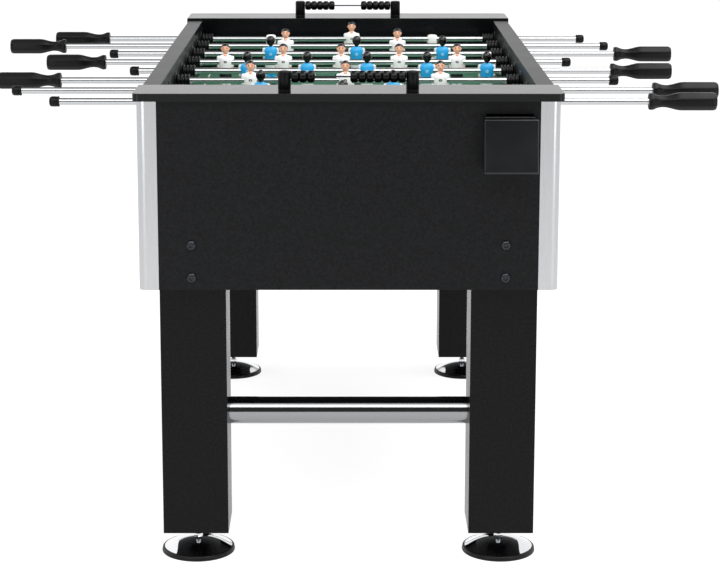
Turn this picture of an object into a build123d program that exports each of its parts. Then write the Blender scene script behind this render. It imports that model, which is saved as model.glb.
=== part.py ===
from build123d import *
import math
import os

# Foosball table, in millimetres. The front end faces -Y, +X is to its right and Z runs up from the floor.
# The origin is on the floor at the middle of the table.

# Overall sizes
TABLE_LENGTH = 1422.0
TABLE_WIDTH = 762.0
TABLE_HEIGHT = 875.0

# Cabinet
END_RAIL_DEPTH = 121.0
END_RAIL_THICKNESS = 14.0
SIDE_RAIL_THICKNESS = 9.0
RAIL_CORNER_RADIUS = 11.0
RAIL_EDGE_RADIUS = 1.5
PLAY_HALF_WIDTH = 344.0
CABINET_HALF_WIDTH = 374.0
CABINET_HALF_LENGTH = 702.0
CABINET_HEIGHT = 341.5
END_PANEL_THICKNESS = 24.0
TRIM_THICKNESS = 1.4
TRIM_CORNER_RADIUS = 15.0
TRIM_FLANGE = 36.0

# Field and goals
FIELD_BELOW_RODS = 76.0
FIELD_SHEET_THICKNESS = 1.0
FIELD_BOARD_THICKNESS = 15.0
CLEAT_SIZE = 20.0
GOAL_WALL_THICKNESS = 12.0
GOAL_WIDTH = 204.0
GOAL_HEIGHT = 64.0

# Ball returns
RETURN_CENTRE_X = 285.0
RETURN_WIDTH = 95.0
RETURN_TOP = 833.5
RETURN_BOTTOM = 738.5
RETURN_DEPTH_TOP = 40.0
RETURN_DEPTH_BOTTOM = 50.0
RETURN_WALL = 3.0
WINDOW_WIDTH = 84.0
WINDOW_TOP = 838.0
RAMP_THICKNESS = 8.0

# Legs, feet and cross tubes
LEG_SIZE = 120.0
LEG_OUTER_X = 341.0
LEG_BOTTOM = 53.0
LEG_TOP = 650.0
LEG_EDGE_RADIUS = 2.0
BOLT_HEIGHTS = (541.7, 601.0)
BOLT_RADIUS = 5.0
BOLT_HEAD_RADIUS = 9.3
BOLT_HEAD_HEIGHT = 5.0
BOLT_LENGTH = 75.0
TUBE_RADIUS = 25.0
TUBE_WALL = 1.5
TUBE_HEIGHT = 271.5
FOOT_RADIUS = 68.0
FOOT_RING_HEIGHT = 9.0
FOOT_DOME_TOP = 27.0
STUD_RADIUS = 5.0
STUD_CLEARANCE = 0.06
STUD_GRIP = 50.0

# Rods
ROD_RADIUS = 6.35
ROD_CLEARANCE = 0.06
ROD_BELOW_TOP = 41.0
ROD_COUNT = 8
ROD_PITCH = 148.0
BEARING_BARREL_RADIUS = 13.0
BEARING_FLANGE_RADIUS = 18.0
BEARING_INNER_FLANGE = 4.0
BEARING_OUTER_FLANGE = 3.5
BUMPER_RADIUS = 13.0
BUMPER_GROOVE_RADIUS = 10.5
BUMPER_RIBS = 4
BUMPER_LENGTH = 25.0

# Each kind of rod: the men's places, the cap's outer end, the grip's collar and its outer end,
# all from the middle man along the rod.
FIVE = {"men": (-246.6, -123.3, 0.0, 123.3, 246.6), "cap": 489.0, "collar": 501.0, "grip": 627.0}
THREE = {"men": (-188.7, 0.0, 188.7), "cap": 543.5, "collar": 565.5, "grip": 691.5}
TWO = {"men": (-126.8, 126.8), "cap": 605.0, "collar": 625.0, "grip": 751.0}
# Front to rear: the kind of rod, the side of its grip and how far it rests off centre.
RODS = (
    (THREE, 1, -10.0),
    (TWO, 1, -41.0),
    (THREE, -1, -5.5),
    (FIVE, 1, 39.0),
    (FIVE, -1, -14.5),
    (THREE, 1, 19.0),
    (TWO, -1, -14.5),
    (THREE, -1, 9.0),
)
GOALIES = (1, 8)

# Men, measured from the rod's axis
MAN_TOP = 40.0
MAN_FOOT = 72.0
SHOULDER_HALF_WIDTH = 18.75
KEEPER_HALF_WIDTH = 12.0
KEEPER_TOP = 10.0

# Grips and caps
GRIP_RADIUS = 17.5
GRIP_WAIST_RADIUS = 12.0
GRIP_COLLAR_RADIUS = 15.5
GRIP_FLATS = 33.0
GRIP_BORE_DEPTH = 105.0
CAP_RADIUS = 9.7
CAP_LENGTH = 19.0
CAP_WALL = 5.0

# Scorers
POST_RADIUS = 11.5
POST_HEIGHT = 34.5
POST_SPACING = 228.0
POST_FROM_EDGE = 52.0
WIRE_RADIUS = 1.5
WIRE_HEIGHT = 23.7
WIRE_GRIP = 7.0
BEAD_RADIUS = 10.7
BEAD_PITCH = 14.15
BEAD_GAP = 0.15
BEAD_CLEARANCE = 0.08
FRONT_BEADS = (3, 7)
REAR_BEADS = (5, 5)

HALF_LENGTH = TABLE_LENGTH / 2
HALF_WIDTH = TABLE_WIDTH / 2
PLAY_HALF_LENGTH = HALF_LENGTH - END_RAIL_DEPTH
CABINET_TOP = TABLE_HEIGHT - END_RAIL_THICKNESS
CABINET_BOTTOM = CABINET_TOP - CABINET_HEIGHT
ROD_Z = TABLE_HEIGHT - ROD_BELOW_TOP
FIELD_Z = ROD_Z - FIELD_BELOW_RODS
PANEL_INNER_Y = CABINET_HALF_LENGTH - END_PANEL_THICKNESS
LEG_X = LEG_OUTER_X - LEG_SIZE / 2
LEG_Y = PANEL_INNER_Y - LEG_SIZE / 2
POST_Y = HALF_LENGTH - POST_FROM_EDGE
SIDES = (-1, 1)
CORNERS = ((-1, -1), (1, -1), (-1, 1), (1, 1))


def block(x0, x1, y0, y1, z0, z1):
    """A box between two corners."""
    middle = ((x0 + x1) / 2, (y0 + y1) / 2, (z0 + z1) / 2)
    return Pos(*middle) * Box(abs(x1 - x0), abs(y1 - y0), abs(z1 - z0))


def bar(radius, x0, x1, y=0.0, z=0.0):
    """A round bar along X between two ends."""
    return Pos((x0 + x1) / 2, y, z) * Rot(0, 90, 0) * Cylinder(radius, abs(x1 - x0))


def turned(points, y, z, flip=1):
    """A solid turned about a line along X. Points are (x, radius) pairs, and flip mirrors them in X."""
    outline = Polyline(*[(flip * x, radius) for x, radius in points], close=True)
    shape = revolve(make_face(outline), Axis.X)
    return Pos(0, y, z) * shape


def write(node, solids):
    """Write one node's solids to its own file."""
    found = []
    for solid in solids:
        found.extend(solid.solids())
    export_step(Compound(label=node, children=found), f"parts/{node}.step")


def rod_y(number):
    """The place of a rod along the table, counted from 1 at the front end."""
    return (number - (ROD_COUNT + 1) / 2) * ROD_PITCH


def end_rails():
    rails = []
    for side in SIDES:
        y0 = side * PLAY_HALF_LENGTH
        y1 = side * HALF_LENGTH
        rail = block(-HALF_WIDTH, HALF_WIDTH, y0, y1, CABINET_TOP, TABLE_HEIGHT)
        corners = rail.edges().filter_by(Axis.Z).group_by(Axis.Y)[0 if side < 0 else -1]
        rail = fillet(corners, RAIL_CORNER_RADIUS)
        rails.append(fillet(rail.faces().sort_by(Axis.Z)[-1].edges(), RAIL_EDGE_RADIUS))
    return rails


def side_rails():
    rails = []
    for side in SIDES:
        rail = block(
            side * PLAY_HALF_WIDTH,
            side * (CABINET_HALF_WIDTH + TRIM_THICKNESS + 1.5),
            -PLAY_HALF_LENGTH,
            PLAY_HALF_LENGTH,
            CABINET_TOP,
            CABINET_TOP + SIDE_RAIL_THICKNESS,
        )
        long_edges = rail.faces().sort_by(Axis.Z)[-1].edges().filter_by(Axis.Y)
        rails.append(fillet(long_edges, RAIL_EDGE_RADIUS))
    return rails


def side_aprons():
    aprons = []
    for side in SIDES:
        inner = side * PLAY_HALF_WIDTH
        outer = side * CABINET_HALF_WIDTH
        apron = block(
            inner, outer, -CABINET_HALF_LENGTH, CABINET_HALF_LENGTH, CABINET_BOTTOM, CABINET_TOP
        )
        corners = apron.edges().filter_by(Axis.Z).group_by(Axis.X)[0 if side < 0 else -1]
        apron = fillet(corners, TRIM_CORNER_RADIUS - TRIM_THICKNESS)
        for number in range(1, ROD_COUNT + 1):
            apron -= bar(BEARING_BARREL_RADIUS, inner - side, outer + side, rod_y(number), ROD_Z)
        aprons.append(apron)
    return aprons


def bolt_hole(side, x, z, radius, y0, y1):
    """A round hole along Y at a leg bolt."""
    return Pos(x, side * (y0 + y1) / 2, z) * Rot(90, 0, 0) * Cylinder(radius, y1 - y0)


def end_panels():
    panels = []
    for side in SIDES:
        panel = block(
            -PLAY_HALF_WIDTH,
            PLAY_HALF_WIDTH,
            side * PANEL_INNER_Y,
            side * CABINET_HALF_LENGTH,
            CABINET_BOTTOM,
            CABINET_TOP,
        )
        middle = -side * RETURN_CENTRE_X
        panel -= block(
            middle - WINDOW_WIDTH / 2,
            middle + WINDOW_WIDTH / 2,
            side * (PANEL_INNER_Y - 1),
            side * (CABINET_HALF_LENGTH + 1),
            RETURN_BOTTOM + RETURN_WALL,
            WINDOW_TOP,
        )
        for x in (-LEG_X, LEG_X):
            for z in BOLT_HEIGHTS:
                panel -= bolt_hole(side, x, z, BOLT_RADIUS, PANEL_INNER_Y - 1, CABINET_HALF_LENGTH + 1)
        panels.append(panel)
    return panels


def corner_trims():
    height = CABINET_HEIGHT
    outer = RectangleRounded(
        2 * (CABINET_HALF_WIDTH + TRIM_THICKNESS),
        2 * (CABINET_HALF_LENGTH + TRIM_THICKNESS),
        TRIM_CORNER_RADIUS,
    )
    inner = RectangleRounded(
        2 * CABINET_HALF_WIDTH, 2 * CABINET_HALF_LENGTH, TRIM_CORNER_RADIUS - TRIM_THICKNESS
    )
    shell = Pos(0, 0, CABINET_BOTTOM) * extrude(outer - inner, height)
    edge_x = CABINET_HALF_WIDTH + TRIM_THICKNESS - TRIM_FLANGE
    edge_y = CABINET_HALF_LENGTH + TRIM_THICKNESS - TRIM_FLANGE
    trims = []
    for sx, sy in CORNERS:
        corner = block(
            sx * edge_x, sx * HALF_WIDTH, sy * edge_y, sy * HALF_LENGTH, CABINET_BOTTOM, CABINET_TOP
        )
        trims.append(shell & corner)
    return trims


def goal_walls():
    walls = []
    for side in SIDES:
        y0 = side * PLAY_HALF_LENGTH
        y1 = side * (PLAY_HALF_LENGTH + GOAL_WALL_THICKNESS)
        wall = block(-PLAY_HALF_WIDTH, PLAY_HALF_WIDTH, y0, y1, FIELD_Z, CABINET_TOP)
        mouth = block(
            -GOAL_WIDTH / 2,
            GOAL_WIDTH / 2,
            y0 - side,
            y1 + side,
            FIELD_Z - 1,
            FIELD_Z + GOAL_HEIGHT,
        )
        walls.append(wall - mouth)
    return walls


def playfield():
    """The board and the printed sheet that covers it."""
    half_length = PLAY_HALF_LENGTH + GOAL_WALL_THICKNESS
    board_top = FIELD_Z - FIELD_SHEET_THICKNESS
    board_bottom = board_top - FIELD_BOARD_THICKNESS
    board = block(
        -PLAY_HALF_WIDTH, PLAY_HALF_WIDTH, -half_length, half_length, board_bottom, board_top
    )
    sheet = block(-PLAY_HALF_WIDTH, PLAY_HALF_WIDTH, -half_length, half_length, board_top, FIELD_Z)
    return board, sheet


def field_cleats():
    top = FIELD_Z - FIELD_SHEET_THICKNESS - FIELD_BOARD_THICKNESS
    cleats = []
    for side in SIDES:
        x0 = side * PLAY_HALF_WIDTH
        x1 = side * (PLAY_HALF_WIDTH - CLEAT_SIZE)
        cleats.append(block(x0, x1, -PLAY_HALF_LENGTH, PLAY_HALF_LENGTH, top - CLEAT_SIZE, top))
    return cleats


def goal_ramps():
    """Sloped boards behind the goals. Each one falls towards its ball return."""
    low_top = RETURN_BOTTOM + RETURN_WALL + 2.0
    high_top = FIELD_Z - 3.0
    ramps = []
    for side in SIDES:
        low_x = -side * (PLAY_HALF_WIDTH - 1.0)
        high_x = side * (GOAL_WIDTH / 2 + 15.0)
        outline = Polyline(
            (low_x, low_top),
            (high_x, high_top),
            (high_x, high_top - RAMP_THICKNESS),
            (low_x, low_top - RAMP_THICKNESS),
            close=True,
        )
        y0 = PLAY_HALF_LENGTH + GOAL_WALL_THICKNESS
        depth = PANEL_INNER_Y - y0
        face = make_face(Plane.XZ * outline)
        board = extrude(face, depth, dir=(0, side, 0))
        ramps.append(Pos(0, side * y0, 0) * board)
    return ramps


def ball_returns():
    """Open-topped cups. The lower half of the front leans outward."""
    half = RETURN_WIDTH / 2
    middle_z = (RETURN_TOP + RETURN_BOTTOM) / 2
    cups = []
    for side in SIDES:
        outer = Polyline(
            (0, RETURN_BOTTOM),
            (RETURN_DEPTH_BOTTOM, RETURN_BOTTOM),
            (RETURN_DEPTH_TOP, middle_z),
            (RETURN_DEPTH_TOP, RETURN_TOP),
            (0, RETURN_TOP),
            close=True,
        )
        inner = Polyline(
            (-1, RETURN_BOTTOM + RETURN_WALL),
            (RETURN_DEPTH_BOTTOM - RETURN_WALL, RETURN_BOTTOM + RETURN_WALL),
            (RETURN_DEPTH_TOP - RETURN_WALL, middle_z),
            (RETURN_DEPTH_TOP - RETURN_WALL, RETURN_TOP + 1),
            (-1, RETURN_TOP + 1),
            close=True,
        )
        body = extrude(make_face(Plane.YZ * outer), half, both=True)
        hollow = extrude(make_face(Plane.YZ * inner), half - RETURN_WALL, both=True)
        turn = Rot(0, 0, 180 if side < 0 else 0)
        place = Pos(-side * RETURN_CENTRE_X, side * CABINET_HALF_LENGTH, 0)
        cups.append(place * turn * (body - hollow))
    return cups


def leg(sx, sy):
    x = sx * LEG_X
    y = sy * LEG_Y
    half = LEG_SIZE / 2
    post = block(x - half, x + half, y - half, y + half, LEG_BOTTOM, LEG_TOP)
    post = fillet(post.edges().filter_by(Axis.Z), LEG_EDGE_RADIUS)
    stud_hole = Cylinder(STUD_RADIUS + STUD_CLEARANCE, 2 * STUD_GRIP + 4)
    post -= Pos(x, y, LEG_BOTTOM) * stud_hole
    for z in BOLT_HEIGHTS:
        depth = BOLT_LENGTH - END_PANEL_THICKNESS
        post -= bolt_hole(sy, x, z, BOLT_RADIUS, PANEL_INNER_Y - depth, PANEL_INNER_Y + 1)
    return post


def leg_bolts():
    """Button-headed bolts with a hex socket."""
    bolts = []
    for sx, sy in CORNERS:
        for z in BOLT_HEIGHTS:
            head = Cylinder(
                BOLT_HEAD_RADIUS, BOLT_HEAD_HEIGHT, align=(Align.CENTER, Align.CENTER, Align.MIN)
            )
            head = fillet(head.faces().sort_by(Axis.Z)[-1].edges(), BOLT_HEAD_HEIGHT * 0.6)
            socket = extrude(RegularPolygon(3.4, 6, major_radius=False), 3.0)
            head -= Pos(0, 0, BOLT_HEAD_HEIGHT - 3.0) * socket
            shank = Cylinder(BOLT_RADIUS, BOLT_LENGTH, align=(Align.CENTER, Align.CENTER, Align.MAX))
            place = Pos(sx * LEG_X, sy * CABINET_HALF_LENGTH, z) * Rot(-90 * sy, 0, 0)
            bolts.append(place * (head + shank))
    return bolts


def cross_tubes():
    end = LEG_X - LEG_SIZE / 2
    tubes = []
    for side in SIDES:
        tube = bar(TUBE_RADIUS, -end, end, side * LEG_Y, TUBE_HEIGHT)
        tube -= bar(TUBE_RADIUS - TUBE_WALL, -end - 1, end + 1, side * LEG_Y, TUBE_HEIGHT)
        tubes.append(tube)
    return tubes


def leveler(sx, sy):
    """A rubber ring, a domed disc on it, and a threaded stud with its nut."""
    place = Pos(sx * LEG_X, sy * LEG_Y, 0)
    ring_outline = Polyline(
        (52, 0), (FOOT_RADIUS, 0), (FOOT_RADIUS - 2, FOOT_RING_HEIGHT), (52, FOOT_RING_HEIGHT), close=True
    )
    ring = revolve(make_face(Plane.XZ * ring_outline), Axis.Z)
    rim = FOOT_RADIUS - 5.0
    rise = FOOT_DOME_TOP - FOOT_RING_HEIGHT
    sphere_radius = (rim**2 + rise**2) / (2 * rise)
    dome = Pos(0, 0, FOOT_DOME_TOP - sphere_radius) * Sphere(sphere_radius)
    dome &= Pos(0, 0, FOOT_RING_HEIGHT + rise / 2) * Cylinder(rim + 1, rise)
    stud = Pos(0, 0, FOOT_DOME_TOP) * Cylinder(
        STUD_RADIUS, LEG_BOTTOM + STUD_GRIP - FOOT_DOME_TOP, align=(Align.CENTER, Align.CENTER, Align.MIN)
    )
    nut = Pos(0, 0, FOOT_DOME_TOP) * extrude(RegularPolygon(8.0, 6, major_radius=False), 7.0)
    return [place * ring, place * dome, place * (stud + nut)]


def bearings():
    """Flanged bushes through the aprons, one at each side of each rod."""
    items = []
    for number in range(1, ROD_COUNT + 1):
        for side in SIDES:
            outer = CABINET_HALF_WIDTH
            inner = PLAY_HALF_WIDTH
            bore = ROD_RADIUS + ROD_CLEARANCE
            points = (
                (inner - BEARING_INNER_FLANGE, bore),
                (inner - BEARING_INNER_FLANGE, BEARING_FLANGE_RADIUS),
                (inner, BEARING_FLANGE_RADIUS),
                (inner, BEARING_BARREL_RADIUS),
                (outer, BEARING_BARREL_RADIUS),
                (outer, BEARING_FLANGE_RADIUS - 1.0),
                (outer + BEARING_OUTER_FLANGE, BEARING_FLANGE_RADIUS - 2.0),
                (outer + BEARING_OUTER_FLANGE, bore),
            )
            items.append(turned(points, rod_y(number), ROD_Z, side))
    return items


def bumpers():
    """Ribbed rubber sleeves on the rods, against the inner bearing flanges."""
    start = PLAY_HALF_WIDTH - BEARING_INNER_FLANGE
    rib = BUMPER_LENGTH / (2 * BUMPER_RIBS - 1)
    bore = ROD_RADIUS + ROD_CLEARANCE
    points = [(start, bore)]
    for index in range(BUMPER_RIBS):
        x = start - 2 * index * rib
        points += [(x, BUMPER_RADIUS), (x - rib, BUMPER_RADIUS)]
        if index < BUMPER_RIBS - 1:
            points += [(x - rib, BUMPER_GROOVE_RADIUS), (x - 2 * rib, BUMPER_GROOVE_RADIUS)]
    points.append((start - BUMPER_LENGTH, bore))
    items = []
    for number in range(1, ROD_COUNT + 1):
        for side in SIDES:
            items.append(turned(points, rod_y(number), ROD_Z, side))
    return items


def man(full):
    """A figure about the rod's axis, facing -Y: a front outline crossed with a side outline."""
    if full:
        shoulder = SHOULDER_HALF_WIDTH
        right = [(0, 16), (9, 16), (shoulder, 10), (shoulder, -14), (12, -20), (11, -58), (12, -72), (0, -72)]
    else:
        right = [(0, 10), (KEEPER_HALF_WIDTH - 1, 10), (KEEPER_HALF_WIDTH, 8), (12, -72), (0, -72)]
    front = right + [(-x, z) for x, z in reversed(right[1:-1])]
    side = [(-7, 16), (7, 16), (11, 4), (11, -8), (8, -22), (6, -58), (8, -72), (-11, -71), (-11, -62)]
    side += [(-7, -56), (-8, -22), (-11, -8), (-11, 4)]
    body = extrude(make_face(Plane.XZ * Polyline(*front, close=True)), 20, both=True)
    body &= extrude(make_face(Plane.YZ * Polyline(*side, close=True)), 30, both=True)
    if full:
        head_radius = 8.8
        body += Pos(0, 0, MAN_TOP - head_radius) * Sphere(head_radius)
        body += Pos(0, 0, 18) * Cylinder(5, 16)
    return body - bar(ROD_RADIUS + 0.02, -30, 30)


def grip(side, kind, middle, y):
    """An eight-sided grip, waisted behind its collar, on the end of a rod."""
    collar = kind["collar"]
    end = kind["grip"]
    bore = ROD_RADIUS + 0.02
    points = (
        (collar, bore),
        (collar, GRIP_COLLAR_RADIUS),
        (collar + 5, GRIP_COLLAR_RADIUS),
        (collar + 19, GRIP_WAIST_RADIUS),
        (collar + 55, GRIP_RADIUS),
        (end - 8, GRIP_RADIUS),
        (end - 2, GRIP_RADIUS - 4),
        (end, GRIP_RADIUS - 9),
        (end, 0),
        (collar + GRIP_BORE_DEPTH, 0),
        (collar + GRIP_BORE_DEPTH, bore),
    )
    body = turned(points, 0, 0, side)
    prism = extrude(RegularPolygon(GRIP_FLATS / 2, 8, major_radius=False), 900, both=True)
    body &= Rot(0, 90, 0) * Rot(0, 0, 22.5) * prism
    return Pos(middle, y, ROD_Z) * body


def end_cap(side, kind, middle, y):
    """A domed cap that covers the rod's other end."""
    outer = kind["cap"]
    inner = outer - CAP_LENGTH
    bore = ROD_RADIUS + ROD_CLEARANCE
    points = (
        (inner, bore),
        (inner, CAP_RADIUS - 1),
        (inner + 1, CAP_RADIUS),
        (outer - 4, CAP_RADIUS),
        (outer - 1, CAP_RADIUS - 3),
        (outer, CAP_RADIUS - 6),
        (outer, 0),
        (outer - CAP_WALL, 0),
        (outer - CAP_WALL, bore),
    )
    return Pos(middle, 0, 0) * turned(points, y, ROD_Z, -side)


def write_rod(number):
    kind, side, middle = RODS[number - 1]
    y = rod_y(number)
    cap_face = middle - side * (kind["cap"] - CAP_WALL - 0.3)
    grip_face = middle + side * (kind["collar"] + GRIP_BORE_DEPTH)
    write(f"rod_{number}", [bar(ROD_RADIUS, cap_face, grip_face, y, ROD_Z)])
    men = []
    for place in kind["men"]:
        full = number not in GOALIES or place == 0.0
        facing = Rot(0, 0, 180 if side > 0 else 0)
        men.append(Pos(middle + place, y, ROD_Z) * facing * man(full))
    write(f"men_{number}", men)
    write(f"handle_{number}", [grip(side, kind, middle, y)])
    write(f"end_cap_{number}", [end_cap(side, kind, middle, y)])


def scorer_posts():
    posts = []
    for side in SIDES:
        for x in (-POST_SPACING / 2, POST_SPACING / 2):
            post = Cylinder(POST_RADIUS, POST_HEIGHT, align=(Align.CENTER, Align.CENTER, Align.MIN))
            post = fillet(post.faces().sort_by(Axis.Z)[-1].edges(), 2.0)
            inward = -math.copysign(POST_RADIUS, x)
            hole_end = inward - math.copysign(WIRE_GRIP, inward)
            post -= bar(WIRE_RADIUS, inward * 1.2, hole_end, 0, WIRE_HEIGHT)
            posts.append(Pos(x, side * POST_Y, TABLE_HEIGHT) * post)
    return posts


def scorer_wires():
    end = POST_SPACING / 2 - POST_RADIUS + WIRE_GRIP
    return [bar(WIRE_RADIUS, -end, end, side * POST_Y, TABLE_HEIGHT + WIRE_HEIGHT) for side in SIDES]


def beads(count, x_side, y_side):
    """A row of barrel beads that touches the post on its own side."""
    wall = POST_SPACING / 2 - POST_RADIUS
    bore = WIRE_RADIUS + BEAD_CLEARANCE
    items = []
    for index in range(count):
        outer = wall - 0.5 - index * BEAD_PITCH
        inner = outer - BEAD_PITCH + BEAD_GAP
        points = (
            (outer, bore),
            (outer, BEAD_RADIUS - 3),
            (outer - 3, BEAD_RADIUS),
            (inner + 3, BEAD_RADIUS),
            (inner, BEAD_RADIUS - 3),
            (inner, bore),
        )
        items.append(turned(points, y_side * POST_Y, TABLE_HEIGHT + WIRE_HEIGHT, x_side))
    return items


os.makedirs("parts", exist_ok=True)
write("end_rails", end_rails())
write("side_rails", side_rails())
write("side_aprons", side_aprons())
write("end_panels", end_panels())
write("corner_trims", corner_trims())
write("goal_walls", goal_walls())
field_board, field_sheet = playfield()
write("playfield_board", [field_board])
write("playfield_surface", [field_sheet])
write("field_cleats", field_cleats())
write("goal_ramps", goal_ramps())
write("ball_returns", ball_returns())
write("legs_front", [leg(-1, -1), leg(1, -1)])
write("legs_rear", [leg(-1, 1), leg(1, 1)])
write("leg_bolts", leg_bolts())
write("cross_tubes", cross_tubes())
for index, corner in enumerate(CORNERS):
    write(f"leveler_{index + 1}", leveler(*corner))
write("bearings", bearings())
write("bumpers", bumpers())
for rod_number in range(1, ROD_COUNT + 1):
    write_rod(rod_number)
write("scorer_posts", scorer_posts())
write("scorer_wires", scorer_wires())
for y_side, place, counts in ((-1, "front", FRONT_BEADS), (1, "rear", REAR_BEADS)):
    write(f"beads_{place}_left", beads(counts[0], -1, y_side))
    write(f"beads_{place}_right", beads(counts[1], 1, y_side))
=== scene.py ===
import math

import bmesh
import bpy
from mathutils import Matrix, Vector


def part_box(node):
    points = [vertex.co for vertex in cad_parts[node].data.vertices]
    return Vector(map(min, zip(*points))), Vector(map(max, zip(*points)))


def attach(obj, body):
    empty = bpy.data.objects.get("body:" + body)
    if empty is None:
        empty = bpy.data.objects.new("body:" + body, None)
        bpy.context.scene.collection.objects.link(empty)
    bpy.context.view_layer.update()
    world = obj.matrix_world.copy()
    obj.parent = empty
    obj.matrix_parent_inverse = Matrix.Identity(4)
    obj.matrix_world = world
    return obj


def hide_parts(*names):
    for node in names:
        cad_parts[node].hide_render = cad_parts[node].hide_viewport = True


bl_info = {
    "name": "Foosball Table",
    "version": (1, 0, 0),
    "blender": (4, 5, 0),
    "location": "View3D > Sidebar > Foosball",
    "description": "Finishes a packed foosball table with its men, grips, fittings and materials",
    "category": "Object",
}

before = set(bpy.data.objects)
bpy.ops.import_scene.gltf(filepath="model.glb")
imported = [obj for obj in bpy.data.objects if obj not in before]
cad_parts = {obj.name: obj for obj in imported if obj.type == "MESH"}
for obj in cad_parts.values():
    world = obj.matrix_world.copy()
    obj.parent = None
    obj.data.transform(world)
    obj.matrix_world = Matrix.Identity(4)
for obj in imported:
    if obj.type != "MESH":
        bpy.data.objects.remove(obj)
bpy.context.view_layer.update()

MM = 0.001
ROD_NUMBERS = range(1, 9)
ROD_MEN = {1: 3, 2: 2, 3: 3, 4: 5, 5: 5, 6: 3, 7: 2, 8: 3}
GOALIE_RODS = (1, 8)
SIDES = (-1, 1)

ROD_RADIUS = 6.5  # mm

# The high corners of three of the frame's pieces, in metres
FIELD_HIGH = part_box("playfield_surface")[1]
APRON_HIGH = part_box("side_aprons")[1]
BUMPER_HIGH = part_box("bumpers")[1]


def linear(hex_colour):
    """A colour written as sRGB hex, as the linear values that Blender keeps."""
    values = []
    for start in (1, 3, 5):
        value = int(hex_colour[start : start + 2], 16) / 255
        values.append(value / 12.92 if value <= 0.04045 else ((value + 0.055) / 1.055) ** 2.4)
    return (*values, 1.0)


def rod_axis(number):
    """The Y and Z of one rod's axis."""
    low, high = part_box(f"rod_{number}")
    return (low.y + high.y) / 2, (low.z + high.z) / 2


def side_of(low, high):
    """1 for a piece on the right of the table and -1 for one on its left."""
    return 1 if low.x + high.x > 0 else -1


def in_order(items):
    """The items without repeats, in the order in which they come, so that each run is the same."""
    return list(dict.fromkeys(items))


# Materials

NOISE_LOW, NOISE_HIGH = 0.3, 0.7  # most of a noise texture's values lie between these
WEAR_SCALE = 18.0  # per metre, which gives patches of about 30 mm


def add(tree, kind, values=None, links=None, **settings):
    """Adds one node with its settings, its input values and the sockets linked to its inputs."""
    node = tree.nodes.new(kind)
    for name, value in settings.items():
        setattr(node, name, value)
    for name, value in (values or {}).items():
        node.inputs[name].default_value = value
    for name, socket in (links or {}).items():
        tree.links.new(socket, node.inputs[name])
    return node


def finish(
    name, colour, roughness, metallic=0.0, ior=1.45, grain=(1.0, 0.0), tone=0.0, wear=0.0,
    stretch=(1, 1, 1),
):
    """A surface with a grain of its own, made once for each name.

    grain is (size in mm, height in mm), tone is how far the colour varies, wear is how far the
    roughness varies, and stretch draws the grain out along an axis.
    """
    material = bpy.data.materials.get(name)
    if material:
        return material
    material = bpy.data.materials.new(name)
    material.use_nodes = True
    tree = material.node_tree
    shader = tree.nodes["Principled BSDF"]
    shader.inputs["Base Color"].default_value = colour
    shader.inputs["Metallic"].default_value = metallic
    shader.inputs["Roughness"].default_value = roughness
    if not metallic:
        shader.inputs["IOR"].default_value = ior
    place = add(tree, "ShaderNodeTexCoord")
    turned = add(
        tree, "ShaderNodeMapping", {"Scale": stretch}, {"Vector": place.outputs["Object"]}
    )
    size, height = grain
    # One unit of the noise holds about two grains
    fine = add(
        tree,
        "ShaderNodeTexNoise",
        {"Scale": 1 / (size * MM * 2), "Detail": 3.0, "Roughness": 0.6},
        {"Vector": turned.outputs[0]},
    )
    if height:
        bump = add(
            tree,
            "ShaderNodeBump",
            {"Strength": 1.0, "Distance": height * MM},
            {"Height": fine.outputs[0]},
        )
        tree.links.new(bump.outputs[0], shader.inputs["Normal"])
    if tone:
        base = Vector(colour[:3])
        ramp = add(tree, "ShaderNodeValToRGB", links={"Fac": fine.outputs[0]})
        ends = ((NOISE_LOW, 1 - tone), (NOISE_HIGH, 1 + tone))
        for stop, (position, share) in zip(ramp.color_ramp.elements, ends):
            stop.position = position
            stop.color = (*(base * share), 1.0)
        tree.links.new(ramp.outputs[0], shader.inputs["Base Color"])
    if wear:
        broad = add(
            tree,
            "ShaderNodeTexNoise",
            {"Scale": WEAR_SCALE, "Detail": 4.0, "Roughness": 0.55},
            {"Vector": turned.outputs[0]},
        )
        spread = add(
            tree,
            "ShaderNodeMapRange",
            {
                "From Min": NOISE_LOW,
                "From Max": NOISE_HIGH,
                "To Min": roughness - wear,
                "To Max": roughness + wear,
            },
            {"Value": broad.outputs[0]},
        )
        tree.links.new(spread.outputs[0], shader.inputs["Roughness"])
    return material


def black_laminate():
    """Melamine laminate pressed on board: its plate leaves dimples that break up the dull sheen.

    The real dimples are about 1 mm across and are drawn at 2 mm so that they show.
    """
    return finish(
        "pressed melamine laminate", linear("#0a0b0d"), 0.38, ior=1.26, grain=(2.2, 0.2), tone=0.9,
        wear=0.03,
    )


def rail_laminate():
    """The same laminate from a finer plate, drawn coarser too: it shines at a low angle."""
    return finish(
        "satin melamine laminate", linear("#08090a"), 0.19, ior=1.31, grain=(1.6, 0.015), tone=0.4,
        wear=0.01,
    )


def side_rail_laminate():
    """The long rails' laminate: the same fine plate with a duller sheen."""
    return finish(
        "dull melamine laminate", linear("#08090a"), 0.32, ior=1.22, grain=(1.6, 0.015), tone=0.4,
        wear=0.01,
    )


def leg_laminate():
    """Laminate wrapped on the legs: shallow dimples, drawn at 2 mm, and an even dark sheen."""
    return finish(
        "wrapped melamine laminate", linear("#08080a"), 0.27, ior=1.23, grain=(2.2, 0.05), tone=0.9,
        wear=0.02,
    )


def smooth_wall():
    """Smooth melamine on the walls inside, with faint long reflections."""
    return finish(
        "smooth melamine", linear("#08080b"), 0.22, ior=1.3, grain=(2.0, 0.01), tone=0.1, wear=0.04
    )


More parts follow.
